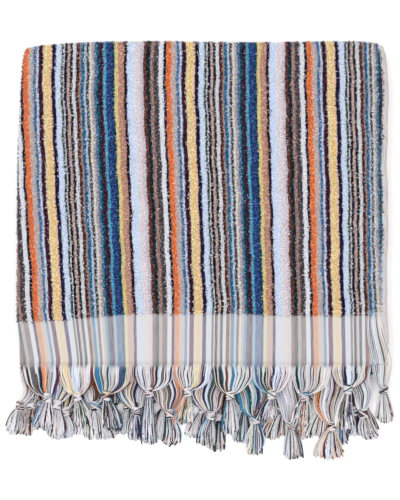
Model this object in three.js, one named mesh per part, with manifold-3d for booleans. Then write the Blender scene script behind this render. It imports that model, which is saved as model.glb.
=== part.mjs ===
// A striped terry bath towel with knotted warp tassels, lying folded on a surface.
// Millimetres, +Z up. X runs across the folded towel and +Y towards its top fold.
// The origin is the centre of the footprint, on the surface that the towel lies on.
//
// The towel is folded in half across its width, so that its fold is at the left and its
// two selvedges are at the right. Then its two fringed ends are laid together, and the
// doubled length is folded once more. From the top, the four doubled layers are:
//   layer a, which carries the visible face and the first fringed end,
//   layer b, which carries the second fringed end,
//   layers c and d, which meet in a fold under the fringe.
// Layers a and d are joined by the outer fold at the top, layers b and c by the inner one.
import * as THREE from "three";
import { mergeVertices } from "three/addons/utils/BufferGeometryUtils.js";
import Module from "manifold-3d";

const wasm = await Module();
wasm.setup();

// Driving dimensions
const TERRY_THICKNESS = 2.6; // cloth with its pile pressed down
const FLAT_THICKNESS = 1.4; // the flat-woven end bands and selvedges
const SHEET_PITCH = 3.4; // from one sheet of the stack to the next
const SHEETS = 8;
const LEFT_X = -221.5; // the lengthwise fold
const RIGHT_X = 228.5; // the selvedges
const TOP_Y = 254.5; // outside of the outer fold
const HEM_A_Y = -138.5; // last weft of the first end
const HEM_B_Y = -145; // last weft of the second end
const BOTTOM_FOLD_Y = -150.5; // outside of the fold under the fringe
const BAND_LENGTH = 62; // flat-woven band between the terry and the last weft
const SELVEDGE_WIDTH = 7;
const STEP_WIDTH = 1.6; // how quickly the pile starts beside a band or selvedge
const PIECE_GAP = 0.3; // between the cloth and each tassel, and from tassel to tassel
const KNOT_WIDTH = 11;
const KNOT_LENGTH = 12;
const KNOT_THICKNESS = 6.5;
const LOCKS = 5; // in each tassel's skirt
const LOCK_WIDTH = 3.6; // at most
const LOCK_THICKNESS = 1.9;
const FALL_LENGTH = 32; // along which the fringe falls from its sheet to the surface

const STACK_HEIGHT = SHEETS * SHEET_PITCH - (SHEET_PITCH - TERRY_THICKNESS);
const HALF_LAYER = SHEET_PITCH / 2; // from a doubled layer's middle to each of its sheets
const LAYER_PITCH = 2 * SHEET_PITCH;
const LAYER_D_Z = TERRY_THICKNESS / 2 + HALF_LAYER;
const LAYER_C_Z = LAYER_D_Z + LAYER_PITCH;
const LAYER_B_Z = LAYER_C_Z + LAYER_PITCH;
const LAYER_A_Z = LAYER_B_Z + LAYER_PITCH;
const FOLD_REACH = HALF_LAYER + TERRY_THICKNESS / 2; // from a doubled layer's middle to its outside

const smoothstep = THREE.MathUtils.smoothstep;
const lerp = THREE.MathUtils.lerp;

// Height of the middle of a sheet, counted from the lowest as 0
const sheetZ = (sheet) => TERRY_THICKNESS / 2 + sheet * SHEET_PITCH;

// A repeatable number from 0 to 1 for each whole number
function chance(n) {
  const wave = Math.sin(n * 127.1 + 311.7) * 43758.5453;
  return wave - Math.floor(wave);
}

// Outline of the stack: each layer lies a little differently
const LAYERS = {
  a: { leftIn: 0, rightIn: 0, hemRightIn: 0, sway: 0 },
  d: { leftIn: 2.5, rightIn: 2, hemRightIn: 8, sway: 1.1 },
  c: { leftIn: 1.2, rightIn: 4, hemRightIn: 11, sway: 2.3 },
  b: { leftIn: 2, rightIn: 3, hemRightIn: 20, sway: 3.7 },
};

function leftEdge(layer, y) {
  const { leftIn, sway } = LAYERS[layer];
  const corner = 9 * Math.exp(-Math.max(0, TOP_Y - 6 - y) / 60);
  const band = 2.2 * smoothstep(-y, 75, 110);
  return LEFT_X + corner + band + leftIn * (1 + 0.5 * Math.sin(y / 47 + sway));
}

function rightEdge(layer, y) {
  const { rightIn, hemRightIn, sway } = LAYERS[layer];
  const wave = 0.9 * Math.sin(y / 24 + sway) + 0.5 * Math.sin(y / 9.5 + 2 * sway);
  const corner = 4 * Math.exp(-Math.max(0, TOP_Y - 8 - y) / 7);
  const hem = (hemRightIn - rightIn) * smoothstep(-y, 40, 140);
  return RIGHT_X + wave - corner - rightIn - hem;
}

// How far the top fold falls back at the corners
function topDrop(x) {
  const fromLeft = Math.exp(-Math.max(0, x - LEFT_X - 6) / 30);
  const fromRight = Math.exp(-Math.max(0, RIGHT_X - x) / 14);
  return 8.5 * fromLeft + 5 * fromRight + 0.7 * Math.sin(x / 38);
}

// How far the line where the terry ends wanders from straight
function terryEndShift(x) {
  const left = -9.5 * smoothstep(-x, 60, 210);
  const right = 3.5 * smoothstep(x, 205, 222);
  return left + right - 2.5 * smoothstep(x, 30, 120);
}

// The stack is a little uneven, and flat below
function unevenness(x, y) {
  const swell = 0.022 * Math.sin(x / 61 + 0.6) * Math.cos(y / 74) + 0.014 * Math.sin(y / 43 - x / 90);
  const leftFall = 0.05 * Math.exp(-(x - LEFT_X) / 22);
  const rightFall = 0.07 * Math.exp(-(RIGHT_X - x) / 16);
  return 1 + swell - leftFall - rightFall;
}

// The folded length, seen from its left side: stations with a place, the way out of the
// layer's upper sheet (ny, nz), a layer's name and, for a band, its distance from the hem.
const STRAIGHT_STEPS = [-95, -40, 15, 70, 125, 175, 215];

function straight(layer, z, forward, from, to) {
  const inside = STRAIGHT_STEPS.filter((y) => y > Math.min(from, to) + 4 && y < Math.max(from, to) - 4);
  const ordered = forward ? inside : inside.reverse();
  return ordered.map((y) => ({ layer, y, z, ny: 0, nz: forward ? 1 : -1, fromHem: Infinity }));
}

function bandStations(layer, z, forward, hem) {
  const terryEnd = BAND_LENGTH;
  const distances = [0, terryEnd / 2, terryEnd, terryEnd + STEP_WIDTH];
  const ordered = forward ? distances : distances.reverse();
  return ordered.map((d) => ({ layer, y: hem + d, z, ny: 0, nz: forward ? 1 : -1, fromHem: d }));
}

// A half turn about (y, z). start is the angle of its first station from +Y, turn its sense.
function foldStations(layers, y, z, radius, start, turn, steps, outward) {
  const made = [];
  for (let i = 0; i <= steps; i++) {
    const angle = start + (turn * Math.PI * i) / steps;
    const [cos, sin] = [Math.cos(angle), Math.sin(angle)];
    const layer = i <= steps / 2 ? layers[0] : layers[1];
    const place = { layer, blend: i / steps, layers, y: y + radius * cos, z: z + radius * sin };
    made.push({ ...place, ny: outward * cos, nz: outward * sin, fromHem: Infinity });
  }
  return made;
}

const OUTER_RADIUS = (LAYER_A_Z - LAYER_D_Z) / 2;
const INNER_RADIUS = LAYER_PITCH / 2;
const OUTER_FOLD_Y = TOP_Y - OUTER_RADIUS - FOLD_REACH;
const INNER_FOLD_Y = OUTER_FOLD_Y;
const UNDER_FOLD_Y = BOTTOM_FOLD_Y + INNER_RADIUS + FOLD_REACH;
const UP = Math.PI / 2;

const stations = [
  ...bandStations("a", LAYER_A_Z, true, HEM_A_Y),
  ...straight("a", LAYER_A_Z, true, HEM_A_Y + BAND_LENGTH + STEP_WIDTH, OUTER_FOLD_Y),
  ...foldStations(["a", "d"], OUTER_FOLD_Y, (LAYER_A_Z + LAYER_D_Z) / 2, OUTER_RADIUS, UP, -1, 8, 1),
  ...straight("d", LAYER_D_Z, false, OUTER_FOLD_Y, UNDER_FOLD_Y),
  ...foldStations(["d", "c"], UNDER_FOLD_Y, (LAYER_D_Z + LAYER_C_Z) / 2, INNER_RADIUS, -UP, -1, 6, 1),
  ...straight("c", LAYER_C_Z, true, UNDER_FOLD_Y, INNER_FOLD_Y),
  ...foldStations(["c", "b"], INNER_FOLD_Y, (LAYER_C_Z + LAYER_B_Z) / 2, INNER_RADIUS, -UP, 1, 6, -1),
  ...straight("b", LAYER_B_Z, false, INNER_FOLD_Y, HEM_B_Y + BAND_LENGTH + STEP_WIDTH),
  ...bandStations("b", LAYER_B_Z, false, HEM_B_Y),
];

// Edges at a station, eased from one layer to the next round a fold
function edgesAt(station) {
  const { layer, layers, blend, y } = station;
  if (!layers) return [leftEdge(layer, y), rightEdge(layer, y)];
  const ease = smoothstep(blend, 0.1, 0.9);
  const [first, second] = layers;
  return [
    lerp(leftEdge(first, y), leftEdge(second, y), ease),
    lerp(rightEdge(first, y), rightEdge(second, y), ease),
  ];
}

// Across the cloth: shares of the way from the selvedge to the lengthwise fold
const ACROSS = [0.2, 0.4, 0.6, 0.8, 1];
const FOLD_ARC_STEPS = 4;

// The doubled layer's section at a station, as [x, distance from the layer's middle, side]
function sectionAt(station) {
  const [left, right] = edgesAt(station);
  const flatHere = station.fromHem <= BAND_LENGTH;
  const body = (flatHere ? FLAT_THICKNESS : TERRY_THICKNESS) / 2;
  const edge = FLAT_THICKNESS / 2;
  const foldX = left + HALF_LAYER + body;
  const pileX = right - SELVEDGE_WIDTH;
  const columns = [
    [right, edge],
    [pileX, edge],
    [pileX - STEP_WIDTH, body],
    ...ACROSS.map((share) => [lerp(right, foldX, share), body]),
  ];
  const arc = (radius) => {
    const points = [];
    for (let i = 1; i < FOLD_ARC_STEPS; i++) {
      const angle = UP + (Math.PI * i) / FOLD_ARC_STEPS;
      points.push([foldX + radius * Math.cos(angle), radius * Math.sin(angle)]);
    }
    return points;
  };
  const face = (side, out) => columns.map(([x, half]) => [x, side * HALF_LAYER + side * out * half]);
  return [
    ...face(1, 1),
    ...arc(HALF_LAYER + body),
    ...face(-1, 1).reverse(),
    ...face(-1, -1),
    ...arc(HALF_LAYER - body).reverse(),
    ...face(1, -1).reverse(),
  ];
}

// Moves a point of the plain stack to where it lies in the uneven one
function settle(x, y, z, fromHem) {
  const top = smoothstep(y, 60, TOP_Y - 20);
  const nearEnd = fromHem <= BAND_LENGTH + STEP_WIDTH ? Math.min(1, fromHem / BAND_LENGTH) : 0;
  const fade = fromHem === Infinity ? smoothstep(-y, -30, 60) * smoothstep(y, -90, -40) : 0;
  const shift = terryEndShift(x) * Math.max(nearEnd, fade * (z > LAYER_C_Z + SHEET_PITCH ? 1 : 0));
  return [x, y - topDrop(x) * top + shift, z * unevenness(x, y)];
}

// A closed mesh from rings of as many points each, with a flat cap at both ends
function lofted(rings, caps) {
  const count = rings[0].length;
  const positions = rings.flat(2);
  const index = [];
  for (let i = 0; i + 1 < rings.length; i++) {
    for (let j = 0; j < count; j++) {
      const k = (j + 1) % count;
      const [a, b, c, d] = [i * count + j, i * count + k, (i + 1) * count + j, (i + 1) * count + k];
      index.push(a, b, d, a, d, c);
    }
  }
  const last = (rings.length - 1) * count;
  for (const [a, b, c] of caps) index.push(a, c, b, last + a, last + b, last + c);
  const geometry = new THREE.BufferGeometry();
  geometry.setAttribute("position", new THREE.Float32BufferAttribute(positions, 3));
  geometry.setIndex(index);
  return geometry;
}

function solidOf(geometry) {
  const merged = mergeVertices(geometry, 1e-4);
  const mesh = { numProp: 3, vertProperties: merged.attributes.position.array, triVerts: merged.index.array };
  mesh.triVerts = new Uint32Array(mesh.triVerts);
  const solid = new wasm.Manifold(new wasm.Mesh(mesh));
  if (solid.volume() > 0) return solid;
  for (let i = 0; i < mesh.triVerts.length; i += 3) {
    [mesh.triVerts[i + 1], mesh.triVerts[i + 2]] = [mesh.triVerts[i + 2], mesh.triVerts[i + 1]];
  }
  return new wasm.Manifold(new wasm.Mesh(mesh));
}

function geometryOf(solid) {
  const { vertProperties, triVerts } = solid.getMesh();
  const geometry = new THREE.BufferGeometry();
  geometry.setAttribute("position", new THREE.BufferAttribute(vertProperties, 3));
  geometry.setIndex(new THREE.BufferAttribute(triVerts, 1));
  return geometry;
}

function towelCloth() {
  const rings = stations.map((station) =>
    sectionAt(station).map(([x, n]) =>
      settle(x, station.y + n * station.ny, station.z + n * station.nz, station.fromHem),
    ),
  );
  // The cap is a strip along the section, between its outer and its inner face
  const half = rings[0].length / 2;
  const caps = [];
  for (let i = 0; i + 1 < half; i++) {
    const [a, b, c, d] = [i, i + 1, 2 * half - 1 - i, 2 * half - 2 - i];
    caps.push([a, b, d], [a, d, c]);
  }
  return solidOf(lofted(rings, caps));
}

// The fringe. The warp ends of each sheet are gathered into ten bundles and knotted.
// hem: where the bundle leaves the last weft, knot: the middle of its knot,
// tips: where its skirt spreads to, tipY: how far it reaches.
// upper and second are the two sheets of layer a, third and lowest those of layer b.
const FRINGE = {
  upper: [
    { hem: [-215.5, -170.5], knot: [-185, -178.5], tips: [-199.5, -185], tipY: -217 },
    { hem: [-170.5, -129], knot: [-149, -177], tips: [-152, -133], tipY: -214.5 },
    { hem: [-129, -79.5], knot: [-113.5, -176], tips: [-117, -95], tipY: -219.5 },
    { hem: [-79.5, -32], knot: [-61.5, -172], tips: [-72, -53], tipY: -235.5 },
    { hem: [-32, 15], knot: [-14.5, -171], tips: [-29.5, -11.5], tipY: -211 },
    { hem: [15, 63.5], knot: [37, -176], tips: [28.5, 45.5], tipY: -223 },
    { hem: [63.5, 112], knot: [87.5, -174.5], tips: [68.5, 93], tipY: -205 },
    { hem: [112, 160.5], knot: [127.5, -176.5], tips: [113.5, 134], tipY: -211 },
    { hem: [160.5, 204.5], knot: [180, -168], tips: [168, 188.5], tipY: -217 },
    { hem: [204.5, 228.5], knot: [225, -170], tips: [217.5, 238.5], tipY: -208.5 },
  ],
  second: [
    { hem: [-215.5, -197], knot: [-219, -189], tips: [-237, -217.5], tipY: -223 },
    { hem: [-197, -151], knot: [-174, -187], tips: [-184, -167], tipY: -229.5 },
    { hem: [-151, -105], knot: [-128, -189], tips: [-145, -103.5], tipY: -229.5 },
    { hem: [-105, -57.5], knot: [-78, -195.5], tips: [-86.5, -72], tipY: -230.5 },
    { hem: [-57.5, -11.5], knot: [-36.5, -199], tips: [-44.5, -26], tipY: -237.5 },
    { hem: [-11.5, 38], knot: [13.5, -200], tips: [-2, 19], tipY: -237.5 },
    { hem: [38, 90.5], knot: [68.5, -206], tips: [57.5, 76], tipY: -248.5 },
    { hem: [90.5, 136.5], knot: [112, -213.5], tips: [102.5, 127], tipY: -253.5 },
    { hem: [136.5, 182.5], knot: [161.5, -214.5], tips: [140, 179], tipY: -253.5 },
    { hem: [182.5, 227.5], knot: [199.5, -197.5], tips: [197, 219], tipY: -229.5 },
  ],
  third: [
    { hem: [-214, -186], knot: [-207, -188], tips: [-221.5, -204.5], tipY: -224.5 },
    { hem: [-186, -142.5], knot: [-164.5, -196.5], tips: [-170.5, -153.5], tipY: -227 },
    { hem: [-142.5, -105], knot: [-120.5, -193], tips: [-130.5, -111], tipY: -224.5 },
    { hem: [-105, -66], knot: [-89, -189], tips: [-102.5, -86.5], tipY: -223 },
    { hem: [-66, -20], knot: [-42.5, -188], tips: [-57.5, -39.5], tipY: -229.5 },
    { hem: [-20, 28.5], knot: [3.5, -193], tips: [-15, 2], tipY: -227 },
    { hem: [28.5, 77], knot: [54.5, -193], tips: [40.5, 61.5], tipY: -233 },
    { hem: [77, 125.5], knot: [99.5, -194], tips: [79.5, 101.5], tipY: -229.5 },
    { hem: [125.5, 170.5], knot: [151.5, -191], tips: [127, 156], tipY: -227 },
    { hem: [170.5, 207], knot: [188.5, -195.5], tips: [180, 198.5], tipY: -224.5 },
  ],
  lowest: [
    { hem: [-214, -174], knot: [-194.5, -189], tips: [-203, -186], tipY: -214.5 },
    { hem: [-174, -129], knot: [-151, -190.5], tips: [-159.5, -142.5], tipY: -210 },
    { hem: [-129, -85.5], knot: [-106, -191.5], tips: [-116, -96.5], tipY: -217 },
    { hem: [-85.5, -42], knot: [-65, -193], tips: [-72, -55], tipY: -229.5 },
    { hem: [-42, 2], knot: [-20, -189], tips: [-28.5, -11.5], tipY: -208.5 },
    { hem: [2, 50.5], knot: [23.5, -205], tips: [11.5, 29.5], tipY: -244 },
    { hem: [50.5, 99], knot: [76, -193], tips: [68.5, 88], tipY: -219.5 },
    { hem: [99, 146], knot: [122, -191.5], tips: [112, 131.5], tipY: -229.5 },
    { hem: [146, 190], knot: [170.5, -194], tips: [162, 180], tipY: -235.5 },
    { hem: [190, 207], knot: [202, -189], tips: [199.5, 217.5], tipY: -222 },
  ],
};
const FRINGE_ROWS = [
  { name: "lowest", sheet: 4, hemY: HEM_B_Y },
  { name: "third", sheet: 5, hemY: HEM_B_Y },
  { name: "second", sheet: 6, hemY: HEM_A_Y },
  { name: "upper", sheet: 7, hemY: HEM_A_Y },
];

// What a tassel comes to lie on, as heights on a grid of square cells
const CELL = 1;
const GROUND_X = -260;
const GROUND_Y = -275;
const GROUND_COLUMNS = 520;
const GROUND_ROWS = 145;
const ground = new Float32Array(GROUND_COLUMNS * GROUND_ROWS);

// Visits each cell that lies in a strip from one station to the next, or within margin of it
function visitStrip(from, to, margin, visit) {
  const [dx, dy] = [to.x - from.x, to.y - from.y];
  const length = Math.hypot(dx, dy);
  const [ux, uy] = [dx / length, dy / length];
  const reach = Math.max(from.width, to.width) / 2 + margin;
  const cellOf = (value, start) => Math.floor((value - start) / CELL);
  const columns = [Math.min(from.x, to.x) - reach, Math.max(from.x, to.x) + reach].map((x) => cellOf(x, GROUND_X));
  const rows = [Math.min(from.y, to.y) - reach, Math.max(from.y, to.y) + reach].map((y) => cellOf(y, GROUND_Y));
  for (let row = Math.max(0, rows[0]); row <= Math.min(GROUND_ROWS - 1, rows[1]); row++) {
    for (let column = Math.max(0, columns[0]); column <= Math.min(GROUND_COLUMNS - 1, columns[1]); column++) {
      const px = GROUND_X + (column + 0.5) * CELL - from.x;
      const py = GROUND_Y + (row + 0.5) * CELL - from.y;
      const along = px * ux + py * uy;
      if (along < -margin || along > length + margin) continue;
      const share = THREE.MathUtils.clamp(along / length, 0, 1);
      if (Math.abs(px * uy - py * ux) > lerp(from.width, to.width, share) / 2 + margin) continue;
      visit(row * GROUND_COLUMNS + column, share);
    }
  }
}

function raiseGround(stations) {
  for (let i = 0; i + 1 < stations.length; i++) {
    const [from, to] = [stations[i], stations[i + 1]];
    visitStrip(from, to, 0.6, (cell, share) => {
      const top = lerp(from.under + from.thick, to.under + to.thick, share);
      ground[cell] = Math.max(ground[cell], top);
    });
  }
}

// Lifts the stations that aren't fixed until all of the strip clears the ground
function liftClear(stations) {
  for (let pass = 0; pass < 20; pass++) {
    for (let i = 0; i + 1 < stations.length; i++) {
      const [from, to] = [stations[i], stations[i + 1]];
      const worst = { lack: 0, share: 0 };
      visitStrip(from, to, 0.6, (cell, share) => {
        const lack = ground[cell] + PIECE_GAP - lerp(from.under, to.under, share);
        if (ground[cell] > 0 && lack > worst.lack) Object.assign(worst, { lack, share });
      });
      const { lack, share } = worst;
      const spread = from.fixed ? Math.max(share, 0.3) ** 2 : share ** 2 + (1 - share) ** 2;
      if (!from.fixed) from.under += (lack * (1 - share)) / spread;
      to.under += (lack * Math.max(share, from.fixed ? 0.3 : 0)) / spread;
    }
  }
}

function raiseBand(fromY, height) {
  for (let row = 0; row < GROUND_ROWS; row++) {
    const y = GROUND_Y + (row + 0.5) * CELL;
    if (y < fromY) continue;
    for (let column = 0; column < GROUND_COLUMNS; column++) {
      const x = GROUND_X + (column + 0.5) * CELL;
      const cell = row * GROUND_COLUMNS + column;
      ground[cell] = Math.max(ground[cell], height * unevenness(x, y));
    }
  }
}

// The bundle between the last weft and its knot: a flat strip that narrows
function headStations({ hem, knot }, { sheet, hemY }) {
  const inset = PIECE_GAP / 2 + 0.1;
  const x = (hem[0] + hem[1]) / 2;
  const y = hemY - PIECE_GAP;
  const width = hem[1] - hem[0] - 2 * inset;
  const thick = FLAT_THICKNESS;
  const hemUnder = sheetZ(sheet) * unevenness(x, hemY) - thick / 2;
  const shares = [
    { share: 0, narrow: 1 },
    { share: 0.3, narrow: 0.72 },
    { share: 0.65, narrow: 0.42 },
    { share: 1, narrow: 0.2 },
  ];
  return shares.map(({ share, narrow }) => {
    const here = { x: lerp(x, knot[0], share), y: lerp(y, knot[1], share), width: lerp(7, width, narrow), thick };
    const fallen = hemUnder * (1 - smoothstep(hemY - here.y, 1, FALL_LENGTH));
    return { ...here, under: fallen, fixed: share === 0, width: share === 0 ? width : here.width };
  });
}

// One lock of a skirt, from inside the knot to its tip
function lockStations({ knot, tips, tipY }, number, seed, under) {
  const side = number / (LOCKS - 1) - 0.5;
  const spread = Math.max(17, tips[1] - tips[0]);
  const tipX = (tips[0] + tips[1]) / 2 + side * spread;
  const reach = tipY + (0.5 - chance(seed)) * 7 + 6 * side * side;
  const bend = (chance(seed + 0.5) - 0.5) * 1.2;
  const rootX = knot[0] + side * 6;
  const rootY = knot[1] - KNOT_LENGTH * 0.25;
  const middleX = lerp(knot[0] + side * 6, tipX, 0.55) + bend + side * 2;
  const middleY = lerp(rootY, reach, 0.5);
  const room = (share) => (0.72 * lerp(6, spread, share)) / (LOCKS - 1);
  return [
    { x: rootX, y: rootY, width: 1.6, thick: LOCK_THICKNESS + 1, under: under + 1.2, fixed: true },
    { x: middleX, y: middleY, width: Math.min(LOCK_WIDTH, room(0.6)), thick: LOCK_THICKNESS, under: 0 },
    { x: tipX, y: reach, width: Math.min(LOCK_WIDTH * 0.75, room(1) * 0.8), thick: LOCK_THICKNESS * 0.6, under: 0 },
  ];
}

// Rings of a strand: the way across each station is square to its neighbours
function ringsOf(stations, section) {
  return stations.map((here, i) => {
    const from = stations[Math.max(0, i - 1)];
    const to = stations[Math.min(stations.length - 1, i + 1)];
    const length = Math.hypot(to.x - from.x, to.y - from.y);
    const across = i === 0 && here.fixed && !here.free ? [1, 0] : [-(to.y - from.y) / length, (to.x - from.x) / length];
    return section.map(([s, t]) => [
      here.x + across[0] * s * here.width,
      here.y + across[1] * s * here.width,
      here.under + t * here.thick,
    ]);
  });
}

const STRIP = [[-0.5, 0], [0.5, 0], [0.5, 1], [-0.5, 1]];
const STRAND = [[-0.5, 0], [0.5, 0], [0, 1]];
const HEXAGON = [0, 1, 2, 3, 4, 5].map((i) => [
  0.5 * Math.cos((i * Math.PI) / 3),
  0.5 + 0.5 * Math.sin((i * Math.PI) / 3),
]);
const capOf = (count) => Array.from({ length: count - 2 }, (_, i) => [0, i + 1, i + 2]);

function strandSolid(stations, section) {
  return solidOf(lofted(ringsOf(stations, section), capOf(section.length)));
}

function knotStations(knot, under) {
  const along = [
    { place: -0.5, size: 0.5 },
    { place: -0.22, size: 1 },
    { place: 0.22, size: 1 },
    { place: 0.5, size: 0.55 },
  ];
  return along.map(({ place, size }) => ({
    x: knot[0],
    y: knot[1] - place * KNOT_LENGTH,
    width: KNOT_WIDTH * size,
    thick: KNOT_THICKNESS * size,
    under: under + ((1 - size) * KNOT_THICKNESS) / 2,
  }));
}

// A tassel: its bundle of warp ends, the knot and the locks below it, in one piece
function tassel(place, row, seed) {
  const head = headStations(place, row);
  const last = head[head.length - 1];
  const rise = (KNOT_THICKNESS - FLAT_THICKNESS) / 2;
  last.under = Math.max(last.under, rise);
  // The knot rests on its own footprint, and the bundle ends at the middle of its height
  const footprint = knotStations(place.knot, 0).map((station) => ({ ...station, under: last.under - rise }));
  liftClear(footprint);
  const knotUnder = Math.max(...footprint.map((station) => station.under));
  last.under = knotUnder + rise;
  liftClear(head);
  const under = last.under - rise;
  const knot = knotStations(place.knot, under);
  const locks = Array.from({ length: LOCKS }, (_, i) => lockStations(place, i, seed + i, under));
  locks.forEach(liftClear);
  const parts = [strandSolid(head, STRIP), strandSolid(knot, HEXAGON), ...locks.map((l) => strandSolid(l, STRAND))];
  return { solid: wasm.Manifold.union(parts), strands: [head, knot, ...locks] };
}

const MATERIALS = {
  cloth: new THREE.MeshStandardMaterial({ name: "cloth", color: 0x8f8478, roughness: 0.95 }),
  fringe: new THREE.MeshStandardMaterial({ name: "fringe", color: 0xb7a699, roughness: 0.9 }),
};

function piece(name, solid, material) {
  const mesh = new THREE.Mesh(geometryOf(solid), material);
  mesh.name = name;
  return mesh;
}

const towel = new THREE.Group();
towel.name = "folded_towel";
towel.add(piece("cloth", towelCloth(), MATERIALS.cloth));

raiseBand(BOTTOM_FOLD_Y - 1.5, LAYER_C_Z + FOLD_REACH);
FRINGE_ROWS.forEach((row, rowNumber) => {
  if (row.sheet === 6) raiseBand(HEM_B_Y - 1, sheetZ(5) + FLAT_THICKNESS / 2);
  const made = FRINGE[row.name].map((place, i) => tassel(place, row, 10 + rowNumber * 100 + i * LOCKS));
  made.forEach(({ solid }, i) => towel.add(piece(`tassel_${row.name}_${i + 1}`, solid, MATERIALS.fringe)));
  made.forEach(({ strands }) => strands.forEach(raiseGround));
});

// The origin goes to the middle of the footprint
const box = new THREE.Box3().setFromObject(towel);
for (const mesh of towel.children) {
  mesh.geometry.translate(-(box.min.x + box.max.x) / 2, -(box.min.y + box.max.y) / 2, -box.min.z);
}

export default towel;
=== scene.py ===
"""A striped terry towel with knotted tassels, folded flat and seen from straight above.

Shapes are worked out in millimetres on the towel's own plan, in which X = 0 and Y = 0 are
the middle of the photograph's towel. Each mesh is moved to the row frame and to metres as it is made.
"""

import bpy
import numpy as np
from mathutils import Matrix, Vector


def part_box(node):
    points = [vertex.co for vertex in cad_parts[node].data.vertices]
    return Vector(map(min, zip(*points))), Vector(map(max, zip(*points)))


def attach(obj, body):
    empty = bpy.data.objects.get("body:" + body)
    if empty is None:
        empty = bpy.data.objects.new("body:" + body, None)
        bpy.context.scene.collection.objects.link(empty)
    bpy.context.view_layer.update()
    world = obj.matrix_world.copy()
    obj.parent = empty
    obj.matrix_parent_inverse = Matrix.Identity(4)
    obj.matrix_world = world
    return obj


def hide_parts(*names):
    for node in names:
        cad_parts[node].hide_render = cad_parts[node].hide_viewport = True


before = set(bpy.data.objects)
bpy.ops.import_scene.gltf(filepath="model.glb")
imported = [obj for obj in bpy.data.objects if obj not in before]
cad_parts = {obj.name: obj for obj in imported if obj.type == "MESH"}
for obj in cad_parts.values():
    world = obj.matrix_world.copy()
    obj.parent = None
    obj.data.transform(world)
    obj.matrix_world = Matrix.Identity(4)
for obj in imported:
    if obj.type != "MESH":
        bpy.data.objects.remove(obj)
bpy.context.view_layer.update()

# The photograph, and the middle of the towel in it
MM_PER_PX = 1.213
FRAME_WIDTH_PX = 400
FRAME_MIDDLE_PX = (200, 250)
PLAN_ORIGIN_PX = (199.5, 251)

# The folded cloth, as in the solids
TERRY_THICKNESS = 2.6
FLAT_THICKNESS = 1.4
SHEET_PITCH = 3.4
LEFT_X = -221.5
RIGHT_X = 228.5
TOP_Y = 254.5
HEM_A_Y = -138.5
HEM_B_Y = -145.0
BOTTOM_FOLD_Y = -150.5
BAND_LENGTH = 62.0
SELVEDGE_WIDTH = 7.0
PIECE_GAP = 0.3
HALF_LAYER = SHEET_PITCH / 2
LAYER_PITCH = 2 * SHEET_PITCH
LAYER_D_Z = TERRY_THICKNESS / 2 + HALF_LAYER
LAYER_C_Z = LAYER_D_Z + LAYER_PITCH
LAYER_B_Z = LAYER_C_Z + LAYER_PITCH
LAYER_A_Z = LAYER_B_Z + LAYER_PITCH
FOLD_REACH = HALF_LAYER + TERRY_THICKNESS / 2
OUTER_RADIUS = (LAYER_A_Z - LAYER_D_Z) / 2
INNER_RADIUS = LAYER_PITCH / 2
OUTER_FOLD_Y = TOP_Y - OUTER_RADIUS - FOLD_REACH
UNDER_FOLD_Y = BOTTOM_FOLD_Y + INNER_RADIUS + FOLD_REACH

# The fringe, as in the solids
KNOT_WIDTH = 11.0
KNOT_LENGTH = 12.0
KNOT_THICKNESS = 6.5
FALL_LENGTH = 32.0

# From the plan to the row frame, read off one tassel whose place in the plan is known
FIFTH_BUNDLE_LEFT = -32.0
STRIP_CLEARANCE = 0.1  # of a tassel's strip, besides half the gap to the next
TASSEL_LEFT = FIFTH_BUNDLE_LEFT + PIECE_GAP / 2 + STRIP_CLEARANCE
TASSEL_TOP = HEM_A_Y - PIECE_GAP
lowest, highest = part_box("tassel_upper_5")
SHIFT = np.array([lowest[0] * 1000 - TASSEL_LEFT, highest[1] * 1000 - TASSEL_TOP, 0.0])


def in_scene(name, data):
    """A new object with this mesh, camera or light, linked to the scene."""
    obj = bpy.data.objects.new(name, data)
    bpy.context.scene.collection.objects.link(obj)
    return obj


# Camera: straight above, with a long lens
CAMERA_DISTANCE = 2200.0
SENSOR_WIDTH = 36.0
camera_data = bpy.data.cameras.new("camera")
camera = in_scene("camera", camera_data)
camera_data.sensor_fit = "HORIZONTAL"
camera_data.sensor_width = SENSOR_WIDTH
camera_data.lens = SENSOR_WIDTH * CAMERA_DISTANCE / (FRAME_WIDTH_PX * MM_PER_PX)
camera_data.clip_end = 20.0
middle_x = (FRAME_MIDDLE_PX[0] - PLAN_ORIGIN_PX[0]) * MM_PER_PX
middle_y = (PLAN_ORIGIN_PX[1] - FRAME_MIDDLE_PX[1]) * MM_PER_PX
stack_top = LAYER_A_Z + FOLD_REACH
camera.location = (np.array([middle_x, middle_y, CAMERA_DISTANCE + stack_top]) + SHIFT) / 1000
bpy.context.scene.camera = camera
bpy.context.scene.view_settings.view_transform = "Standard"

# Yarn colours, 0 to 255, set against the photograph's stripes
YARNS = {
    "navy": (26, 25, 64),
    "orange": (226, 134, 80),
    "light_grey": (194, 187, 186),
    "mid_blue": (80, 129, 176),
    "white": (217, 218, 223),
    "plum": (75, 25, 55),
    "cream_yellow": (224, 211, 176),
    "golden": (231, 203, 150),
    "pale_pink": (226, 206, 211),
    "light_blue": (210, 219, 237),
    "olive": (85, 88, 55),
    "peach": (207, 181, 170),
    "dark_teal": (0, 56, 70),
    "brown": (100, 45, 30),
    "cream_grey": (175, 162, 155),
    "teal_blue": (36, 119, 160),
    "lilac": (198, 202, 212),
    "olive_brown": (96, 87, 79),
    "cream": (218, 217, 214),
    "taupe": (190, 180, 180),
    "denim": (102, 140, 176),
    "teal": (10, 82, 90),
    "wine": (82, 30, 58),
    "turquoise": (102, 184, 210),
    "indigo": (63, 84, 137),
    "green_teal": (0, 80, 85),
    "yellow": (227, 205, 152),
    "dusty_pink": (195, 160, 148),
    "rose_brown": (178, 148, 139),
    "cream_white": (221, 218, 215),
    "pinkish_white": (222, 212, 218),
    "lilac_grey": (208, 203, 210),
    "rust": (121, 72, 58),
    "charcoal": (90, 88, 96),
    "cool_white": (224, 224, 230),
    "selvedge": (218, 213, 208),
}

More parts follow.
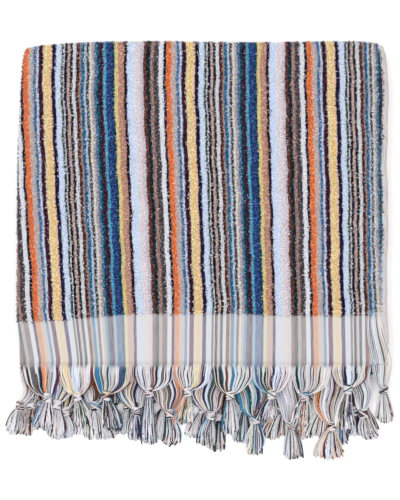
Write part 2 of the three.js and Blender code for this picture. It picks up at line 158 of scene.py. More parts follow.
# One repeat of the warp stripes, from left to right: (yarn, width in mm)
STRIPES = [
    ("navy", 2.8),
    ("orange", 6.2),
    ("light_grey", 6.6),
    ("mid_blue", 3.6),
    ("white", 2.4),
    ("plum", 5.7),
    ("cream_yellow", 3.6),
    ("golden", 5.0),
    ("pale_pink", 1.8),
    ("navy", 5.0),
    ("light_blue", 6.7),
    ("olive", 2.5),
    ("white", 1.6),
    ("navy", 3.4),
    ("peach", 3.0),
    ("dark_teal", 3.2),
    ("white", 4.3),
    ("brown", 3.8),
    ("cream_grey", 2.2),
    ("teal_blue", 4.0),
    ("lilac", 3.0),
    ("olive_brown", 2.9),
    ("cream", 2.8),
    ("taupe", 3.2),
    ("denim", 3.5),
    ("teal", 3.0),
    ("wine", 4.7),
    ("turquoise", 2.8),
    ("indigo", 7.6),
    ("green_teal", 3.0),
    ("yellow", 3.9),
    ("dusty_pink", 7.2),
    ("navy", 3.7),
    ("light_blue", 8.1),
    ("cream_white", 2.0),
    ("pinkish_white", 5.0),
    ("lilac_grey", 4.2),
    ("rust", 3.5),
    ("dark_teal", 4.6),
    ("rose_brown", 3.9),
    ("charcoal", 5.8),
    ("cool_white", 5.8),
]
REPEAT = sum(width for _, width in STRIPES)
FIRST_STRIPE_X = -43.8  # where a repeat starts, at the top of the photographed face
STRIPE_ENDS = np.cumsum([width for _, width in STRIPES])


def linear(rgb):
    """A 0 to 255 colour as linear light."""
    c = np.asarray(rgb, float) / 255
    return np.where(c <= 0.04045, c / 12.92, ((c + 0.055) / 1.055) ** 2.4)


STRIPE_COLOURS = np.array([linear(YARNS[name]) for name, _ in STRIPES])
WEFT_COLOUR = linear((226, 221, 222))
# The same yarns on end in the pile
PILE_TONE = 1.12
PILE_BRIGHTEST = 0.95
PILE_COLOURS = np.minimum(STRIPE_COLOURS * PILE_TONE, PILE_BRIGHTEST)
# Painted shade: how much darker and richer a colour is made down in the pile
PAINTED_SHADE_GAMMA = 1.55  # how much richer a colour looks down in the pile
# Laid flat under the weft of the bands
BAND_TONE = 0.7
BAND_GAMMA = 0.66
BAND_COVER = 0.35 * 0.8  # of the weft over the warps, at the hem
EMERGING_TONE = 0.75  # round yarns catch less light than the flat weave that they leave
# Loose in the fringe
LOOSE_TONE = 0.89
LOOSE_GAMMA = 0.85
LOOSE_COLOURS = STRIPE_COLOURS**LOOSE_GAMMA * LOOSE_TONE


def smoothstep(x, low, high):
    """0 below low and 1 above high, with a soft rise between them."""
    t = np.clip((np.asarray(x, float) - low) / (high - low), 0, 1)
    return t * t * (3 - 2 * t)


def mix(a, b, t):
    return a + (b - a) * t


# Where the stripes lie: how far to the right of an even repeat, at these X, for rows from the
# first band up to the fold. Measured against the photograph, and rounded to half a millimetre.
TERRY_END_Y = HEM_A_Y + BAND_LENGTH
DRIFT_X = [-208, -165, -127, -84, -42, 55, 146, 204, 222]
DRIFT_ROWS = [
    (-130, [20.5, 19, 15, 11, 10, 7, 7.5, 6, 7]),
    (-63, [10.5, 10, 9, 9.5, 10.5, 8.5, 6, 5, 3.5]),
    (-20, [8.5, 8, 7.5, 6.5, 8.5, 6, 4.5, 3, 0]),
    (50, [3.5, 3.5, 3.5, 4.5, 5.5, 4, 3.5, 3, -2.5]),
    (120, [0.5, 0.5, 0.5, 1.5, 2.5, 1.5, 1.5, 1.5, -4]),
    (190, [-2, -2.5, -2.5, -1.5, 0, -0.5, -0.5, -0.5, -4.5]),
    (246, [-1.5, -2, -1.5, -1, 0, 0, -1.5, -2, -4.5]),
]
DRIFT_Y = np.array([row[0] for row in DRIFT_ROWS])


def drift(x, y):
    """The chart's value at each place, straight between its rows and columns."""
    across = np.stack([np.interp(x, DRIFT_X, row[1]) for row in DRIFT_ROWS])
    y = np.clip(y, DRIFT_Y[0], DRIFT_Y[-1])
    below = np.clip(np.searchsorted(DRIFT_Y, y, side="right") - 1, 0, len(DRIFT_Y) - 2)
    share = (y - DRIFT_Y[below]) / (DRIFT_Y[below + 1] - DRIFT_Y[below])
    column = np.arange(x.size).reshape(x.shape)
    across = across.reshape(len(DRIFT_ROWS), -1)
    return mix(across[below, column], across[below + 1, column], share)


BAND_WANDER = 0.12  # as a share of that in the terry


def wander(x, y):
    """Small waves along each stripe, nearly straight in the bands."""
    waves = 0.45 * np.sin(y / 11 + x / 23) + 0.4 * np.sin(y / 6.3 - x / 13 + 1)
    return waves * mix(BAND_WANDER, 1, smoothstep(y, TERRY_END_Y - 4, TERRY_END_Y + 10))


def stripe_place(x, y):
    """How far into the repeat a point of the unrolled face is, in repeats."""
    return (x - drift(x, y) - wander(x, y) - FIRST_STRIPE_X) / REPEAT


def stripe_number(place):
    """Which of the stripes a place in the repeat is in."""
    within = (place - np.floor(place)) * REPEAT
    return np.minimum(np.searchsorted(STRIPE_ENDS, within), len(STRIPES) - 1)


# The outline of the stack: each doubled layer lies a little differently. The layers are counted
# along the length of the cloth, so the first is the top one and the next is on the floor.
LEFT_IN = np.array([0, 2.5, 1.2, 2.0])
RIGHT_IN = np.array([0, 2.0, 4.0, 3.0])
HEM_RIGHT_IN = np.array([0, 8.0, 11.0, 20.0])
SWAY = np.array([0, 1.1, 2.3, 3.7])


def rounded_in(distance, depth, reach):
    """How far an edge is drawn in at a distance from its corner."""
    return depth * np.exp(-np.maximum(0, distance) / reach)


def left_edge(layer, y):
    """X of the lengthwise fold, drawn in at the top corner and along the band."""
    corner = rounded_in(TOP_Y - 6 - y, depth=9, reach=60)
    band = 2.2 * smoothstep(-y, 75, 110)
    return LEFT_X + corner + band + LEFT_IN[layer] * (1 + 0.5 * np.sin(y / 47 + SWAY[layer]))


def right_edge(layer, y):
    """X of the selvedges, which wave, and step in towards the hem from layer to layer."""
    sway = SWAY[layer]
    wave = 0.9 * np.sin(y / 24 + sway) + 0.5 * np.sin(y / 9.5 + 2 * sway)
    corner = rounded_in(TOP_Y - 8 - y, depth=4, reach=7)
    hem = (HEM_RIGHT_IN[layer] - RIGHT_IN[layer]) * smoothstep(-y, 40, 140)
    return RIGHT_X + wave - corner - RIGHT_IN[layer] - hem


def top_drop(x):
    """How far below its highest line the top fold lies."""
    from_left = rounded_in(x - LEFT_X - 6, depth=8.5, reach=30)
    from_right = rounded_in(RIGHT_X - x, depth=5, reach=14)
    return from_left + from_right + 0.7 * np.sin(x / 38)


def terry_end_shift(x):
    """How far the end of the terry lies above a straight line across."""
    left = -9.5 * smoothstep(-x, 60, 210)
    right = 3.5 * smoothstep(x, 205, 222)
    return left + right - 2.5 * smoothstep(x, 30, 120)


def unevenness(x, y):
    """How high the stack is, as a share of the even one: it swells here and there, and falls at its sides."""
    swell = 0.022 * np.sin(x / 61 + 0.6) * np.cos(y / 74) + 0.014 * np.sin(y / 43 - x / 90)
    left_fall = 0.05 * np.exp(-(x - LEFT_X) / 22)
    right_fall = 0.07 * np.exp(-(RIGHT_X - x) / 16)
    return 1 + swell - left_fall - right_fall


# The folded length: (name, layer before, layer after, length)
RUNS = [
    ("a", 0, 0, OUTER_FOLD_Y - HEM_A_Y),
    ("outer_fold", 0, 1, np.pi * OUTER_RADIUS),
    ("d", 1, 1, OUTER_FOLD_Y - UNDER_FOLD_Y),
    ("under_fold", 1, 2, np.pi * INNER_RADIUS),
    ("c", 2, 2, OUTER_FOLD_Y - UNDER_FOLD_Y),
    ("inner_fold", 2, 3, np.pi * INNER_RADIUS),
    ("b", 3, 3, OUTER_FOLD_Y - HEM_B_Y),
]
RUN_STARTS = np.concatenate([[0], np.cumsum([run[3] for run in RUNS])])
CLOTH_LENGTH = RUN_STARTS[-1]
# Y and Z of the middle of each fold, its radius, the angle at which the length comes to it, the way
# it turns there, and which side of the fold the face is on: 1 is the outside and -1 the inside
FOLDS = {
    "outer_fold": (OUTER_FOLD_Y, (LAYER_A_Z + LAYER_D_Z) / 2, OUTER_RADIUS, np.pi / 2, -1, 1),
    "under_fold": (UNDER_FOLD_Y, (LAYER_D_Z + LAYER_C_Z) / 2, INNER_RADIUS, -np.pi / 2, -1, 1),
    "inner_fold": (OUTER_FOLD_Y, (LAYER_C_Z + LAYER_B_Z) / 2, INNER_RADIUS, -np.pi / 2, 1, -1),
}
# Y where each flat run starts, the way it goes, and its Z
FLAT_RUNS = {
    "a": (HEM_A_Y, 1, LAYER_A_Z),
    "d": (OUTER_FOLD_Y, -1, LAYER_D_Z),
    "c": (UNDER_FOLD_Y, 1, LAYER_C_Z),
    "b": (OUTER_FOLD_Y, -1, LAYER_B_Z),
}


def along_length(v):
    """Y, Z, the way out of the face and both edges' X, for each distance from the first hem."""
    v = np.asarray(v, float)
    y, z, ny, nz, left, right = (np.zeros_like(v) for _ in range(6))
    number = np.clip(np.searchsorted(RUN_STARTS, v, side="right") - 1, 0, len(RUNS) - 1)
    for i, (name, before, after, length) in enumerate(RUNS):
        here = number == i
        if not here.any():
            continue
        share = (v[here] - RUN_STARTS[i]) / length
        if name in FOLDS:
            fold_y, fold_z, radius, start, turn, outward = FOLDS[name]
            angle = start + turn * np.pi * share
            y[here] = fold_y + radius * np.cos(angle)
            z[here] = fold_z + radius * np.sin(angle)
            ny[here] = outward * np.cos(angle)
            nz[here] = outward * np.sin(angle)
        else:
            start_y, way, run_z = FLAT_RUNS[name]
            y[here] = start_y + way * share * length
            z[here] = run_z
            nz[here] = way
        ease = smoothstep(share, 0.1, 0.9)
        left[here] = mix(left_edge(before, y[here]), left_edge(after, y[here]), ease)
        right[here] = mix(right_edge(before, y[here]), right_edge(after, y[here]), ease)
    return y, z, ny, nz, left, right


STEP_WIDTH = 1.6  # of the step up from the flat weave to the ground of the pile


def settle(x, y, z, v):
    """Moves a point of the plain stack to where it lies in the uneven one."""
    from_hem = np.minimum(v, CLOTH_LENGTH - v)
    top = smoothstep(y, 60, TOP_Y - 20)
    near_end = np.clip(from_hem / BAND_LENGTH, 0, 1)
    fade = smoothstep(-y, -30, 60) * (z > LAYER_C_Z + SHEET_PITCH)
    share = np.where(from_hem <= BAND_LENGTH + STEP_WIDTH, near_end, fade)
    moved = y - top_drop(x) * top + terry_end_shift(x) * share
    return np.stack([x, moved, z * unevenness(x, y)], axis=-1)


ARC_RADIUS = 2.6  # at which distances round the lengthwise fold are counted


def on_layer(unrolled, v, height):
    """The point at a distance over the middle of the sheet, and the ways out and along there.

    unrolled is X on the upper sheet, and goes on falling round the lengthwise fold.
    """
    y, z, ny, nz, left, _ = along_length(v)
    fold_x = left + FOLD_REACH
    angle = np.clip((fold_x - unrolled) / ARC_RADIUS, 0, np.pi)
    beyond = np.maximum(0, fold_x - unrolled - np.pi * ARC_RADIUS)
    radius = HALF_LAYER + height
    x = np.maximum(unrolled, fold_x) - radius * np.sin(angle) + beyond
    n = radius * np.cos(angle)
    point = settle(x, y + n * ny, z + n * nz, v)
    out = np.stack([-np.sin(angle), np.cos(angle) * ny, np.cos(angle) * nz], axis=-1)
    along = np.stack([np.zeros_like(ny), nz, -ny], axis=-1)
    return point, out, along


# Mesh helpers


def new_mesh(name, points, quads, tris, bake_map, colours=None):
    """A mesh from arrays in plan millimetres. bake_map has a row per corner, colours a row per point."""
    mesh = bpy.data.meshes.new(name)
    vertices = ((points + SHIFT) / 1000).astype(np.float32)
    mesh.vertices.add(len(vertices))
    mesh.vertices.foreach_set("co", vertices.ravel())
    corners = np.concatenate([quads.ravel(), tris.ravel()]).astype(np.int32)
    starts = np.concatenate(
        [np.arange(len(quads)) * 4, len(quads) * 4 + np.arange(len(tris)) * 3]
    ).astype(np.int32)
    mesh.loops.add(len(corners))
    mesh.loops.foreach_set("vertex_index", corners)
    mesh.polygons.add(len(starts))
    mesh.polygons.foreach_set("loop_start", starts)
    mesh.polygons.foreach_set("use_smooth", np.ones(len(starts), bool))
    mesh.update(calc_edges=True)
    if colours is not None:
        layer = mesh.color_attributes.new("yarn", "FLOAT_COLOR", "POINT")
        rgba = np.concatenate([colours, np.ones((len(colours), 1))], axis=1)
        layer.data.foreach_set("color", rgba.astype(np.float32).ravel())
    uv = mesh.uv_layers.new(name="OFBake")
    uv.data.foreach_set("uv", bake_map.astype(np.float32).ravel())
    return in_scene(name, mesh)


CELL_MARGIN = 0.05


def cell_map(count, *parts):
    """Small cells of a square map, one for each strand, from one strand's own maps of its parts."""
    side = int(np.ceil(np.sqrt(count)))
    number = np.arange(count)
    corner = np.stack([number % side, number // side], axis=-1) / side + CELL_MARGIN / side
    size = (1 - 2 * CELL_MARGIN) / side
    cells = [corner[:, None, :] + part.reshape(-1, 2)[None] * size for part in parts]
    return np.concatenate([cell.reshape(-1, 2) for cell in cells])


def tubes(name, centres, radii, sides, colours, depth=None):
    """Strands as one mesh: centres (count, stations, 3), radii (count, stations), and colours, one
    for each strand or one for each of its stations.

    depth has a share of the colour for each station: painted shade, darker where little light gets in, and
    painted light where the share is over 1.
    """
    count, stations, _ = centres.shape
    along = np.gradient(centres, axis=1)
    along /= np.linalg.norm(along, axis=-1, keepdims=True) + 1e-9
    across = np.cross(along, [0, 0, 1.0])
    across /= np.linalg.norm(across, axis=-1, keepdims=True) + 1e-9
    up = np.cross(across, along)
    angle = np.arange(sides) * 2 * np.pi / sides - np.pi / 2
    ring = (
        across[:, :, None] * np.cos(angle)[None, None, :, None]
        + up[:, :, None] * np.sin(angle)[None, None, :, None]
    )
    points = centres[:, :, None] + ring * radii[:, :, None, None]
    i, j = np.meshgrid(np.arange(stations - 1), np.arange(sides), indexing="ij")
    i, j = i.ravel(), j.ravel()
    k = (j + 1) % sides
    near, far = i * sides, (i + 1) * sides
    quad = np.stack([near + j, near + k, far + k, far + j], axis=-1)
    fan = np.arange(1, sides - 1)
    first_cap = np.stack([np.zeros_like(fan), fan + 1, fan], axis=-1)
    last_cap = np.stack([np.zeros_like(fan), fan, fan + 1], axis=-1) + (stations - 1) * sides
    tri = np.concatenate([first_cap, last_cap])
    offset = np.arange(count)[:, None, None] * stations * sides
    quads = (quad[None] + offset).reshape(-1, 4)
    tris = (tri[None] + offset).reshape(-1, 3)
    u0, u1 = j / sides, (j + 1) / sides
    v0, v1 = i / stations, (i + 1) / stations
    quad_cells = np.stack([u0, v0, u1, v0, u1, v1, u0, v1], axis=-1).reshape(-1, 4, 2)
    # The caps share a small triangle above the sides' own map
    cap = (stations - 0.9) / stations
    tri_cells = np.tile([[0.1, cap], [0.5, cap], [0.3, 0.99]], (len(tri), 1, 1))
    shades = np.array(depth or [1] * stations)
    if colours.ndim == 2:
        colours = np.repeat(colours[:, None], stations, axis=1)
    per_point = np.repeat((colours * shades[None, :, None])[:, :, None], sides, axis=2)
    per_point = np.clip(per_point.reshape(-1, 3), 0, 1)
    bake_map = cell_map(count, quad_cells, tri_cells)
    return new_mesh(name, points.reshape(-1, 3), quads, tris, bake_map, per_point)


# Materials


def node_material(name, roughness, sheen):
    material = bpy.data.materials.new(name)
    material.use_nodes = True
    shader = material.node_tree.nodes["Principled BSDF"]
    shader.inputs["Roughness"].default_value = roughness
    shader.inputs["Sheen Weight"].default_value = sheen
    shader.inputs["Sheen Roughness"].default_value = 0.6
    shader.inputs["Specular IOR Level"].default_value = 0.12
    return material, material.node_tree, shader


def feed(tree, socket, value):
    """A plain number or colour is set on the socket, and another node's output is linked to it."""
    if isinstance(value, (int, float, tuple)):
        socket.default_value = value
    else:
        tree.links.new(value, socket)


def new_node(tree, kind, output, **inputs):
    """One output of a new node whose inputs are fed by their names, with _ for a space."""
    node = tree.nodes.new("ShaderNode" + kind)
    for name, value in inputs.items():
        feed(tree, node.inputs[name.replace("_", " ")], value)
    return node.outputs[output]


def math_node(tree, operation, *values):
    node = tree.nodes.new("ShaderNodeMath")
    node.operation = operation
    for socket, value in zip(node.inputs, values):
        feed(tree, socket, value)
    return node.outputs[0]


def mix_node(tree, factor, first, second, blend="MIX"):
    node = tree.nodes.new("ShaderNodeMix")
    node.data_type = "RGBA"
    node.blend_type = blend
    # Its colour sockets share their names with others, so they go by number
    for number, value in ((0, factor), (6, first), (7, second)):
        feed(tree, node.inputs[number], value)
    return node.outputs[2]


def noise_node(tree, vector, scale):
    return new_node(tree, "TexNoise", "Fac", Vector=vector, Scale=scale, Detail=2.0)


def range_node(tree, value, low, high):
    return new_node(tree, "MapRange", "Result", Value=value, To_Min=low, To_Max=high)


def attribute_node(tree, name, output="Fac"):
    node = tree.nodes.new("ShaderNodeAttribute")
    node.attribute_name = name
    return node.outputs[output]


FIBRE_SCALE = 1800  # of the noise that roughens each yarn, per metre


def yarn_material(name, low, high, scale):
    """Yarns that carry their own colour, mottled a little along their length."""
    material, tree, shader = node_material(name, roughness=0.92, sheen=0.04)
    place = new_node(tree, "TexCoord", "Object")
    mottle = range_node(tree, noise_node(tree, place, scale), low, high)
    grey = new_node(tree, "CombineColor", "Color", Red=mottle, Green=mottle, Blue=mottle)
    shaded = mix_node(tree, 1.0, attribute_node(tree, "yarn", "Color"), grey, "MULTIPLY")
    fibres = noise_node(tree, place, FIBRE_SCALE)
    bump = new_node(tree, "Bump", "Normal", Strength=0.35, Distance=0.0004, Height=fibres)
    feed(tree, shader.inputs["Base Color"], shaded)
    feed(tree, shader.inputs["Normal"], bump)
    return material


def stripe_ramp(tree, factor, first, last):
    """The colours of part of the repeat, from stripe number first to last, with hard edges."""
    node = tree.nodes.new("ShaderNodeValToRGB")
    feed(tree, node.inputs["Fac"], factor)
    ramp = node.color_ramp
    ramp.interpolation = "CONSTANT"
    while len(ramp.elements) > 1:
        ramp.elements.remove(ramp.elements[-1])
    for i in range(first, last):
        start = 0.0 if i == 0 else STRIPE_ENDS[i - 1] / REPEAT
        element = ramp.elements[0] if i == first else ramp.elements.new(start)
        element.position = start
        element.color = (*STRIPE_COLOURS[i], 1.0)
    return node.outputs["Color"]


WEFT = (*WEFT_COLOUR, 1.0)
BAND_SHADE = (BAND_TONE, BAND_TONE, BAND_TONE, 1.0)
SELVEDGE = (*linear(YARNS["selvedge"]) * 0.84, 1.0)
SELVEDGE_LINES = (*linear(YARNS["taupe"]) * 0.8, 1.0)
STREAK_SCALE = 1.5
STREAK_STRETCH = 0.04  # how fast streaks change along the warps, against across them
WARP_RIBS = 6.5  # in radians per millimetre, so they are about a millimetre apart
PICK_RIBS = 7.5


def woven_material():
    """Warp stripes under a pale weft in the end bands, stronger where the pile stands over them: no weft
    covers them there, and painted shade makes them darker and richer.
    """
    material, tree, shader = node_material("striped_cloth", roughness=0.9, sheen=0.04)
    stripe = attribute_node(tree, "stripe")
    along = attribute_node(tree, "along")
    within = math_node(tree, "FRACT", stripe)
    half = len(STRIPES) // 2
    first = stripe_ramp(tree, within, 0, half)
    second = stripe_ramp(tree, within, half, len(STRIPES))
    later = math_node(tree, "GREATER_THAN", within, float(STRIPE_ENDS[half - 1] / REPEAT))
    warp = mix_node(tree, later, first, second)
    # Fine tonal streaks along the warps
    streak_x = math_node(tree, "MULTIPLY", stripe, REPEAT)
    streak_y = math_node(tree, "MULTIPLY", along, STREAK_STRETCH)
    streak = noise_node(tree, new_node(tree, "CombineXYZ", "Vector", X=streak_x, Y=streak_y), STREAK_SCALE)
    from_hem = attribute_node(tree, "from_hem")
    cover = math_node(tree, "MULTIPLY", range_node(tree, streak, -0.05, 0.75), from_hem)
    band = mix_node(tree, cover, new_node(tree, "Gamma", "Color", Color=warp, Gamma=BAND_GAMMA), WEFT)
    band = mix_node(tree, 1.0, band, BAND_SHADE, "MULTIPLY")
    # The ground between the tufts, darker and richer as painted shade
    terry = new_node(tree, "Gamma", "Color", Color=warp, Gamma=PAINTED_SHADE_GAMMA)
    body = mix_node(tree, attribute_node(tree, "terry"), band, terry)
    selvedge = mix_node(tree, range_node(tree, streak, -1.2, 2.0), SELVEDGE, SELVEDGE_LINES)
    colour = mix_node(tree, attribute_node(tree, "edge"), body, selvedge)
    # The ribs of the weave, across and along
    across = math_node(tree, "MULTIPLY", stripe, REPEAT * WARP_RIBS)
    warps = math_node(tree, "SINE", across)
    picks = math_node(tree, "SINE", math_node(tree, "MULTIPLY", along, PICK_RIBS))
    weave = math_node(tree, "ADD", warps, picks)
    bump = new_node(tree, "Bump", "Normal", Strength=0.3, Distance=0.0003, Height=weave)
    feed(tree, shader.inputs["Base Color"], colour)
    feed(tree, shader.inputs["Normal"], bump)
    return material


# The cloth: one closed sheet through all its folds

ROW_STEP = 12.0
BAND_ROW_STEP = 8
STEP_CLEARANCE = 3
FOLD_ROWS = 12
COLUMN_COUNT = 36
ARC_COLUMNS = 8
GROUND_HEIGHT = 0.95  # of the ground between the tufts
INNER_HEIGHT = 1.1  # of the face inside each doubled layer
HEM_COVER = 0.8  # how much of its cover the weft keeps at the hem
HEM_FADE = 14


def cloth_rows():
    """The distance from the first hem of each row of points."""
    rows = [np.append(np.arange(0, BAND_LENGTH, BAND_ROW_STEP), BAND_LENGTH)]
    rows.append(CLOTH_LENGTH - rows[0])
    for i, (name, _, _, length) in enumerate(RUNS):
        count = FOLD_ROWS if name in FOLDS else int(length / ROW_STEP)
        rows.append(RUN_STARTS[i] + np.arange(count + 1) * length / count)
    rows = np.unique(np.round(np.concatenate(rows), 3))
    from_hem = np.minimum(rows, CLOTH_LENGTH - rows)
    # No row of the plain runs falls between the bands' own rows or on the step beside them
    in_band = (from_hem > 0) & (from_hem < BAND_LENGTH) & (np.abs(from_hem % BAND_ROW_STEP) > 1e-6)
    beside = (from_hem > BAND_LENGTH) & (from_hem < BAND_LENGTH + STEP_CLEARANCE)
    rows = rows[~in_band & ~beside]
    edges = np.array([BAND_LENGTH + STEP_WIDTH, CLOTH_LENGTH - BAND_LENGTH - STEP_WIDTH])
    return np.sort(np.concatenate([rows, edges]))


def cloth_columns(left, right):
    """X on the unrolled face for each column, from one selvedge to the other."""
    fold_x = left + FOLD_REACH
    terry_x = right - SELVEDGE_WIDTH - STEP_WIDTH
    flat = [right, right - SELVEDGE_WIDTH, terry_x]
    flat += [mix(terry_x, fold_x, share) for share in np.linspace(0.02, 1, COLUMN_COUNT)]
    flat = np.stack(flat, axis=-1)
    arc = fold_x[:, None] - np.linspace(0, np.pi, ARC_COLUMNS + 1)[None, 1:-1] * ARC_RADIUS
    under = 2 * fold_x[:, None] - flat[:, ::-1] - np.pi * ARC_RADIUS
    return np.concatenate([flat, arc, under], axis=1)


def build_cloth():
    rows = cloth_rows()
    left, right = along_length(rows)[4:]
    unrolled = cloth_columns(left, right)
    count, width = unrolled.shape
    v = np.repeat(rows[:, None], width, axis=1).ravel()
    from_hem = np.minimum(v, CLOTH_LENGTH - v)
    terry = (from_hem > BAND_LENGTH + 1).astype(float)
    column = np.tile(np.arange(width), count)
    edge = ((column < 2) | (column > width - 3)).astype(float)
    outer = np.where((terry > 0) & (edge == 0), GROUND_HEIGHT, FLAT_THICKNESS / 2)
    inner = np.where((terry > 0) & (edge == 0), INNER_HEIGHT, FLAT_THICKNESS / 2)
    points = [on_layer(unrolled.ravel(), v, height)[0] for height in (outer, -inner)]
    place = stripe_place(unrolled.ravel(), along_length(v)[0])
    number = np.arange(count * width).reshape(count, width)
    a, b, c, d = number[:-1, :-1], number[:-1, 1:], number[1:, 1:], number[1:, :-1]
    face = np.stack([a, b, c, d], axis=-1).reshape(-1, 4)
    back = face[:, ::-1] + count * width
    down = count * width
    # Along each selvedge and hem
    rim = (number[:, 0], number[::-1, -1], number[0, ::-1], number[-1])
    sides = [np.stack([e[:-1], e[1:], e[1:] + down, e[:-1] + down], axis=-1) for e in rim]
    quads = np.concatenate([face, back, *sides])
    # The map that keeps the cloth flat: its face in one half and its back in the other
    share = np.stack([np.tile(np.linspace(0, 0.49, width), count), v / CLOTH_LENGTH], axis=-1)
    flat_map = np.concatenate([share, share + [0.5, 0]])
    no_tris = np.zeros((0, 3), int)
    obj = new_mesh("towel_cloth", np.concatenate(points), quads, no_tris, flat_map[quads.ravel()])
    hem_cover = mix(HEM_COVER, 1.0, smoothstep(from_hem, 0, HEM_FADE))
    values = dict(stripe=place, along=v, terry=terry, edge=edge, from_hem=hem_cover)
    for name, of_face in values.items():
        layer = obj.data.attributes.new(name, "FLOAT", "POINT")
        layer.data.foreach_set("value", np.tile(of_face, 2).astype(np.float32))
    return obj


cloth = build_cloth()
cloth.data.materials.append(woven_material())

# The pile: a tuft for each loop or two that stand over the ground, in columns along the warps

COLUMN_PITCH = 1.45
ROW_PITCH = 1.65
TUFT_LENGTH = 2.8
TUFT_WIDTH = 0.38  # its radius, as a share of its column's width
TUFT_ROOT = 0.55  # how deep in the ground it starts
# Painted shade at a tuft's root and painted light at its tip, as shares of its colour
PILE_PAINTED_SHADING = (0.5, 1.16)  # a tuft's tone at its root and at its tip
STRAY = 0.3  # how far from its own place a tuft may take its colour, as a spread
JITTER = 0.45  # how far it stands from the middle of its column, as a spread
ROW_JITTER = 0.6  # how far it may stand from its row
TUFT_RISE = (0.4, 1.15)  # how steeply it stands, in radians
TUFT_TAPER = (1.0, 0.75)
PILE_OVER_SELVEDGE = 0.4
rng = np.random.default_rng(7)
pile_material = yarn_material("terry_pile", low=0.94, high=1.06, scale=260)


def pile_columns():
    """Each column's place at the top of the face, and its width."""
    places, widths = [], []
    for repeat in range(-2, 3):
        for i, (_, width) in enumerate(STRIPES):
            start = FIRST_STRIPE_X + repeat * REPEAT + STRIPE_ENDS[i] - width
            count = max(1, round(width / COLUMN_PITCH))
            places.append(start + (np.arange(count) + 0.5) / count * width)
            widths.append(np.full(count, width / count))
    return np.concatenate(places), np.concatenate(widths)


def tufts(name, from_v, to_v, row_pitch, keep):
    """The tufts between two distances from the first hem that keep(x, fold_x) lets stand."""
    places, widths = pile_columns()
    rows = np.arange(from_v, to_v, row_pitch)
    place, v = np.meshgrid(places, rows)
    width = np.broadcast_to(widths, place.shape).ravel()
    # Every second column is set half a row on
    stagger = np.broadcast_to(np.arange(places.size) % 2 * row_pitch / 2, place.shape).ravel()
    place, v = place.ravel(), v.ravel() + stagger + rng.uniform(-ROW_JITTER, ROW_JITTER, place.size)
    y, _, _, _, left, right = along_length(v)
    fold_x = left + FOLD_REACH
    # The columns follow the stripes' drift, found at the place where it moves them
    x = place
    for _ in range(3):
        x = place + drift(x, y) + wander(x, y)
    kept = keep(x, fold_x) & (x < right - SELVEDGE_WIDTH + PILE_OVER_SELVEDGE)
    x, v, place, width = x[kept], v[kept], place[kept], width[kept]
    count = x.size
    stripe = stripe_number((place + rng.normal(0, STRAY, count) - FIRST_STRIPE_X) / REPEAT)
    x = x + rng.normal(0, JITTER, count)
    point, out, along = on_layer(x, v, np.full(count, GROUND_HEIGHT - TUFT_ROOT))
    across = np.cross(out, along)
    turn = rng.uniform(-np.pi, np.pi, count)[:, None]
    rise = rng.uniform(*TUFT_RISE, count)[:, None]
    lean = along * np.cos(turn) + across * np.sin(turn)
    axis = lean * np.cos(rise) + out * np.sin(rise)
    length = TUFT_LENGTH * rng.uniform(0.8, 1.15, count)[:, None]
    centres = np.stack([point, point + axis * length], axis=1)
    swell = (np.clip(width, 1.2, 1.8) * TUFT_WIDTH * rng.uniform(0.85, 1.15, count))[:, None]
    radii = swell * np.array([TUFT_TAPER])
    # None reaches below the floor
    centres[..., 2] = np.maximum(centres[..., 2], radii)
    # Dark yarns vary more from tuft to tuft than pale ones
    colours = PILE_COLOURS[stripe]
    spread = 0.9 * (1 - np.sqrt(colours.mean(axis=1)))
    colours = colours * np.exp(rng.normal(0, 1, count) * spread)[:, None]
    # Painted shade at each tuft's root, darker and richer than at its tip
    colours = np.stack([colours**PAINTED_SHADE_GAMMA, colours], axis=1)
    obj = tubes(name, centres, radii, 3, colours, depth=PILE_PAINTED_SHADING)
    obj.data.materials.append(pile_material)
    return obj


def on_face(x, fold_x):
    """The upper sheet of a layer, and all of its lengthwise fold."""
    return x > fold_x - ARC_RADIUS * 3.4


def on_edge_fold(x, fold_x):
    """The lengthwise fold, and a narrow strip on each side of it."""
    return (x < fold_x + 3) & (x > fold_x - ARC_RADIUS * np.pi - 2)


# Whole over the photographed face and the top fold, and only on the folds further down
face_top, past_top_fold = RUN_STARTS[1], RUN_STARTS[2] + 14
thirds = np.linspace(BAND_LENGTH + 0.4, face_top, 4)
pile = [
    tufts("pile_lower", thirds[0], thirds[1], ROW_PITCH, on_face),
    tufts("pile_middle", thirds[1], thirds[2], ROW_PITCH, on_face),
    tufts("pile_upper", thirds[2], thirds[3], ROW_PITCH, on_face),
    tufts("pile_top_fold", face_top, past_top_fold, ROW_PITCH, on_face),
    tufts("pile_edge_folds", past_top_fold, CLOTH_LENGTH - BAND_LENGTH, ROW_PITCH * 1.2, on_edge_fold),
    tufts("pile_under_fold", RUN_STARTS[3] - 4, RUN_STARTS[4] + 2, ROW_PITCH * 1.15, on_face),
]


